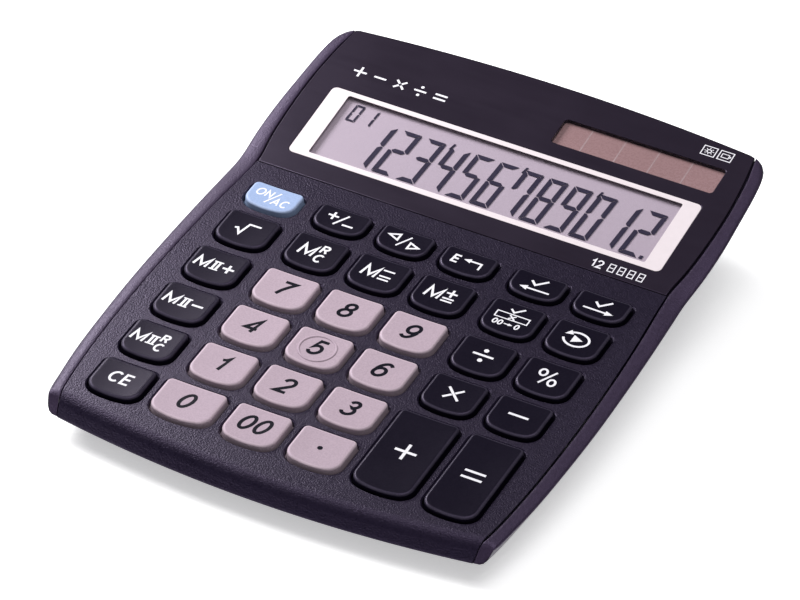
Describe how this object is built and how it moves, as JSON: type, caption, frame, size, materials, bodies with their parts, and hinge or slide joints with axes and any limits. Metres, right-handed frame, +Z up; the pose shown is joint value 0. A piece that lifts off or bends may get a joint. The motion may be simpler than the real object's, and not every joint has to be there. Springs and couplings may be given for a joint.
{
  "type": "desk calculator",
  "caption": "Wedge-shaped desk calculator with a sloping number display, a solar cell strip and sprung keys on a flat deck.",
  "frame": {"origin": "centre of the underside of the bounding box, on the surface it stands on", "axes": "+X to the right as the user faces it, +Y from the front edge to the display at the back, +Z up"},
  "size_m": [0.1194, 0.153, 0.029],
  "materials": {
    "case_plastic": "fine-textured moulded plastic, dark violet grey",
    "rail_plastic": "fine-textured moulded plastic, violet grey",
    "lower_case_plastic": "fine-textured moulded plastic, near black",
    "panel_plastic": "satin black plate",
    "clear_plastic": "clear acrylic",
    "white_print": "thick white print on the face of the window",
    "lcd_cell": "grey liquid crystal cell",
    "grey_reflector": "grey reflecting film",
    "holder_plastic": "black moulded frame",
    "flex_film": "amber flexible film",
    "amorphous_cell": "brown amorphous silicon on glass",
    "wire_sleeve": "soft insulation",
    "board_laminate": "coated laminate",
    "potting": "black potting resin",
    "resistor_ceramic": "chip resistor",
    "capacitor_can": "sleeved aluminium can",
    "dome_rubber": "soft silicone rubber",
    "screw_steel": "zinc-plated steel",
    "cell_steel": "nickel-plated steel",
    "contact_steel": "nickel-plated spring strip",
    "foot_rubber": "soft black rubber",
    "light_key_plastic": "pale moulded plastic",
    "dark_key_plastic": "near-black moulded plastic",
    "blue_key_plastic": "pale blue moulded plastic"
  },
  "bodies": {
    "case": {"battery_contacts": "contact_steel", "battery_cover": "lower_case_plastic", "battery_cover_screw": "screw_steel", "board_screws": "screw_steel", "buffer_capacitor": "capacitor_can", "button_cell": "cell_steel", "case_screws": "screw_steel", "chip_resistors": "resistor_ceramic", "circuit_board": "board_laminate", "controller_blob": "potting", "display_film": "flex_film", "display_panel": "panel_plastic", "display_window": "clear_plastic", "hookup_wires": "wire_sleeve", "lcd_glass": "lcd_cell", "lcd_holder": "holder_plastic", "lcd_reflector": "grey_reflector", "left_side_rail": "rail_plastic", "lower_case": "lower_case_plastic", "right_side_rail": "rail_plastic", "rubber_feet": "foot_rubber", "rubber_mat": "dome_rubber", "solar_cell": "amorphous_cell", "solar_window": "clear_plastic", "upper_case": "case_plastic", "window_border": "white_print"},
    "key_0": {"key_0": "light_key_plastic"},
    "key_1": {"key_1": "light_key_plastic"},
    "key_2": {"key_2": "light_key_plastic"},
    "key_3": {"key_3": "light_key_plastic"},
    "key_4": {"key_4": "light_key_plastic"},
    "key_5": {"key_5": "light_key_plastic"},
    "key_6": {"key_6": "light_key_plastic"},
    "key_7": {"key_7": "light_key_plastic"},
    "key_8": {"key_8": "light_key_plastic"},
    "key_9": {"key_9": "light_key_plastic"},
    "key_auto_replay": {"key_auto_replay": "dark_key_plastic"},
    "key_check_back": {"key_check_back": "dark_key_plastic"},
    "key_check_forward": {"key_check_forward": "dark_key_plastic"},
    "key_clear_entry": {"key_clear_entry": "dark_key_plastic"},
    "key_correct": {"key_correct": "dark_key_plastic"},
    "key_divide": {"key_divide": "dark_key_plastic"},
    "key_double_zero": {"key_double_zero": "light_key_plastic"},
    "key_equals": {"key_equals": "dark_key_plastic"},
    "key_error_recall": {"key_error_recall": "dark_key_plastic"},
    "key_memory2_minus": {"key_memory2_minus": "dark_key_plastic"},
    "key_memory2_plus": {"key_memory2_plus": "dark_key_plastic"},
    "key_memory2_recall": {"key_memory2_recall": "dark_key_plastic"},
    "key_memory_minus": {"key_memory_minus": "dark_key_plastic"},
    "key_memory_plus": {"key_memory_plus": "dark_key_plastic"},
    "key_memory_recall": {"key_memory_recall": "dark_key_plastic"},
    "key_minus": {"key_minus": "dark_key_plastic"},
    "key_multiply": {"key_multiply": "dark_key_plastic"},
    "key_on_clear": {"key_on_clear": "blue_key_plastic"},
    "key_percent": {"key_percent": "dark_key_plastic"},
    "key_plus": {"key_plus": "dark_key_plastic"},
    "key_point": {"key_point": "light_key_plastic"},
    "key_previous_now": {"key_previous_now": "dark_key_plastic"},
    "key_root": {"key_root": "dark_key_plastic"},
    "key_sign": {"key_sign": "dark_key_plastic"}
  },
  "joints": [
    {"name": "press_0", "type": "slide", "parent": "case", "child": "key_0", "axis": [0, 0.0872, -0.9962], "range_m": [0, 0.0012], "stiffness_N_per_m": 400, "springref_m": -0.001, "deforming": ["rubber_mat"]},
    {"name": "press_1", "type": "slide", "parent": "case", "child": "key_1", "axis": [0, 0.0872, -0.9962], "range_m": [0, 0.0012], "stiffness_N_per_m": 400, "springref_m": -0.001, "deforming": ["rubber_mat"]},
    {"name": "press_2", "type": "slide", "parent": "case", "child": "key_2", "axis": [0, 0.0872, -0.9962], "range_m": [0, 0.0012], "stiffness_N_per_m": 400, "springref_m": -0.001, "deforming": ["rubber_mat"]},
    {"name": "press_3", "type": "slide", "parent": "case", "child": "key_3", "axis": [0, 0.0872, -0.9962], "range_m": [0, 0.0012], "stiffness_N_per_m": 400, "springref_m": -0.001, "deforming": ["rubber_mat"]},
    {"name": "press_4", "type": "slide", "parent": "case", "child": "key_4", "axis": [0, 0.0872, -0.9962], "range_m": [0, 0.0012], "stiffness_N_per_m": 400, "springref_m": -0.001, "deforming": ["rubber_mat"]},
    {"name": "press_5", "type": "slide", "parent": "case", "child": "key_5", "axis": [0, 0.0872, -0.9962], "range_m": [0, 0.0012], "stiffness_N_per_m": 400, "springref_m": -0.001, "deforming": ["rubber_mat"]},
    {"name": "press_6", "type": "slide", "parent": "case", "child": "key_6", "axis": [0, 0.0872, -0.9962], "range_m": [0, 0.0012], "stiffness_N_per_m": 400, "springref_m": -0.001, "deforming": ["rubber_mat"]},
    {"name": "press_7", "type": "slide", "parent": "case", "child": "key_7", "axis": [0, 0.0872, -0.9962], "range_m": [0, 0.0012], "stiffness_N_per_m": 400, "springref_m": -0.001, "deforming": ["rubber_mat"]},
    {"name": "press_8", "type": "slide", "parent": "case", "child": "key_8", "axis": [0, 0.0872, -0.9962], "range_m": [0, 0.0012], "stiffness_N_per_m": 400, "springref_m": -0.001, "deforming": ["rubber_mat"]},
    {"name": "press_9", "type": "slide", "parent": "case", "child": "key_9", "axis": [0, 0.0872, -0.9962], "range_m": [0, 0.0012], "stiffness_N_per_m": 400, "springref_m": -0.001, "deforming": ["rubber_mat"]},
    {"name": "press_auto_replay", "type": "slide", "parent": "case", "child": "key_auto_replay", "axis": [0, 0.0872, -0.9962], "range_m": [0, 0.0012], "stiffness_N_per_m": 400, "springref_m": -0.001, "deforming": ["rubber_mat"]},
    {"name": "press_check_back", "type": "slide", "parent": "case", "child": "key_check_back", "axis": [0, 0.0872, -0.9962], "range_m": [0, 0.0012], "stiffness_N_per_m": 400, "springref_m": -0.001, "deforming": ["rubber_mat"]},
    {"name": "press_check_forward", "type": "slide", "parent": "case", "child": "key_check_forward", "axis": [0, 0.0872, -0.9962], "range_m": [0, 0.0012], "stiffness_N_per_m": 400, "springref_m": -0.001, "deforming": ["rubber_mat"]},
    {"name": "press_clear_entry", "type": "slide", "parent": "case", "child": "key_clear_entry", "axis": [0, 0.0872, -0.9962], "range_m": [0, 0.0012], "stiffness_N_per_m": 400, "springref_m": -0.001, "deforming": ["rubber_mat"]},
    {"name": "press_correct", "type": "slide", "parent": "case", "child": "key_correct", "axis": [0, 0.0872, -0.9962], "range_m": [0, 0.0012], "stiffness_N_per_m": 400, "springref_m": -0.001, "deforming": ["rubber_mat"]},
    {"name": "press_divide", "type": "slide", "parent": "case", "child": "key_divide", "axis": [0, 0.0872, -0.9962], "range_m": [0, 0.0012], "stiffness_N_per_m": 400, "springref_m": -0.001, "deforming": ["rubber_mat"]},
    {"name": "press_double_zero", "type": "slide", "parent": "case", "child": "key_double_zero", "axis": [0, 0.0872, -0.9962], "range_m": [0, 0.0012], "stiffness_N_per_m": 400, "springref_m": -0.001, "deforming": ["rubber_mat"]},
    {"name": "press_equals", "type": "slide", "parent": "case", "child": "key_equals", "axis": [0, 0.0872, -0.9962], "range_m": [0, 0.0012], "stiffness_N_per_m": 400, "springref_m": -0.001, "deforming": ["rubber_mat"]},
    {"name": "press_error_recall", "type": "slide", "parent": "case", "child": "key_error_recall", "axis": [0, 0.0872, -0.9962], "range_m": [0, 0.0012], "stiffness_N_per_m": 400, "springref_m": -0.001, "deforming": ["rubber_mat"]},
    {"name": "press_memory2_minus", "type": "slide", "parent": "case", "child": "key_memory2_minus", "axis": [0, 0.0872, -0.9962], "range_m": [0, 0.0012], "stiffness_N_per_m": 400, "springref_m": -0.001, "deforming": ["rubber_mat"]},
    {"name": "press_memory2_plus", "type": "slide", "parent": "case", "child": "key_memory2_plus", "axis": [0, 0.0872, -0.9962], "range_m": [0, 0.0012], "stiffness_N_per_m": 400, "springref_m": -0.001, "deforming": ["rubber_mat"]},
    {"name": "press_memory2_recall", "type": "slide", "parent": "case", "child": "key_memory2_recall", "axis": [0, 0.0872, -0.9962], "range_m": [0, 0.0012], "stiffness_N_per_m": 400, "springref_m": -0.001, "deforming": ["rubber_mat"]},
    {"name": "press_memory_minus", "type": "slide", "parent": "case", "child": "key_memory_minus", "axis": [0, 0.0872, -0.9962], "range_m": [0, 0.0012], "stiffness_N_per_m": 400, "springref_m": -0.001, "deforming": ["rubber_mat"]},
    {"name": "press_memory_plus", "type": "slide", "parent": "case", "child": "key_memory_plus", "axis": [0, 0.0872, -0.9962], "range_m": [0, 0.0012], "stiffness_N_per_m": 400, "springref_m": -0.001, "deforming": ["rubber_mat"]},
    {"name": "press_memory_recall", "type": "slide", "parent": "case", "child": "key_memory_recall", "axis": [0, 0.0872, -0.9962], "range_m": [0, 0.0012], "stiffness_N_per_m": 400, "springref_m": -0.001, "deforming": ["rubber_mat"]},
    {"name": "press_minus", "type": "slide", "parent": "case", "child": "key_minus", "axis": [0, 0.0872, -0.9962], "range_m": [0, 0.0012], "stiffness_N_per_m": 400, "springref_m": -0.001, "deforming": ["rubber_mat"]},
    {"name": "press_multiply", "type": "slide", "parent": "case", "child": "key_multiply", "axis": [0, 0.0872, -0.9962], "range_m": [0, 0.0012], "stiffness_N_per_m": 400, "springref_m": -0.001, "deforming": ["rubber_mat"]},
    {"name": "press_on_clear", "type": "slide", "parent": "case", "child": "key_on_clear", "axis": [0, 0.0872, -0.9962], "range_m": [0, 0.0012], "stiffness_N_per_m": 400, "springref_m": -0.001, "deforming": ["rubber_mat"]},
    {"name": "press_percent", "type": "slide", "parent": "case", "child": "key_percent", "axis": [0, 0.0872, -0.9962], "range_m": [0, 0.0012], "stiffness_N_per_m": 400, "springref_m": -0.001, "deforming": ["rubber_mat"]},
    {"name": "press_plus", "type": "slide", "parent": "case", "child": "key_plus", "axis": [0, 0.0872, -0.9962], "range_m": [0, 0.0012], "stiffness_N_per_m": 400, "springref_m": -0.001, "deforming": ["rubber_mat"]},
    {"name": "press_point", "type": "slide", "parent": "case", "child": "key_point", "axis": [0, 0.0872, -0.9962], "range_m": [0, 0.0012], "stiffness_N_per_m": 400, "springref_m": -0.001, "deforming": ["rubber_mat"]},
    {"name": "press_previous_now", "type": "slide", "parent": "case", "child": "key_previous_now", "axis": [0, 0.0872, -0.9962], "range_m": [0, 0.0012], "stiffness_N_per_m": 400, "springref_m": -0.001, "deforming": ["rubber_mat"]},
    {"name": "press_root", "type": "slide", "parent": "case", "child": "key_root", "axis": [0, 0.0872, -0.9962], "range_m": [0, 0.0012], "stiffness_N_per_m": 400, "springref_m": -0.001, "deforming": ["rubber_mat"]},
    {"name": "press_sign", "type": "slide", "parent": "case", "child": "key_sign", "axis": [0, 0.0872, -0.9962], "range_m": [0, 0.0012], "stiffness_N_per_m": 400, "springref_m": -0.001, "deforming": ["rubber_mat"]}
  ]
}
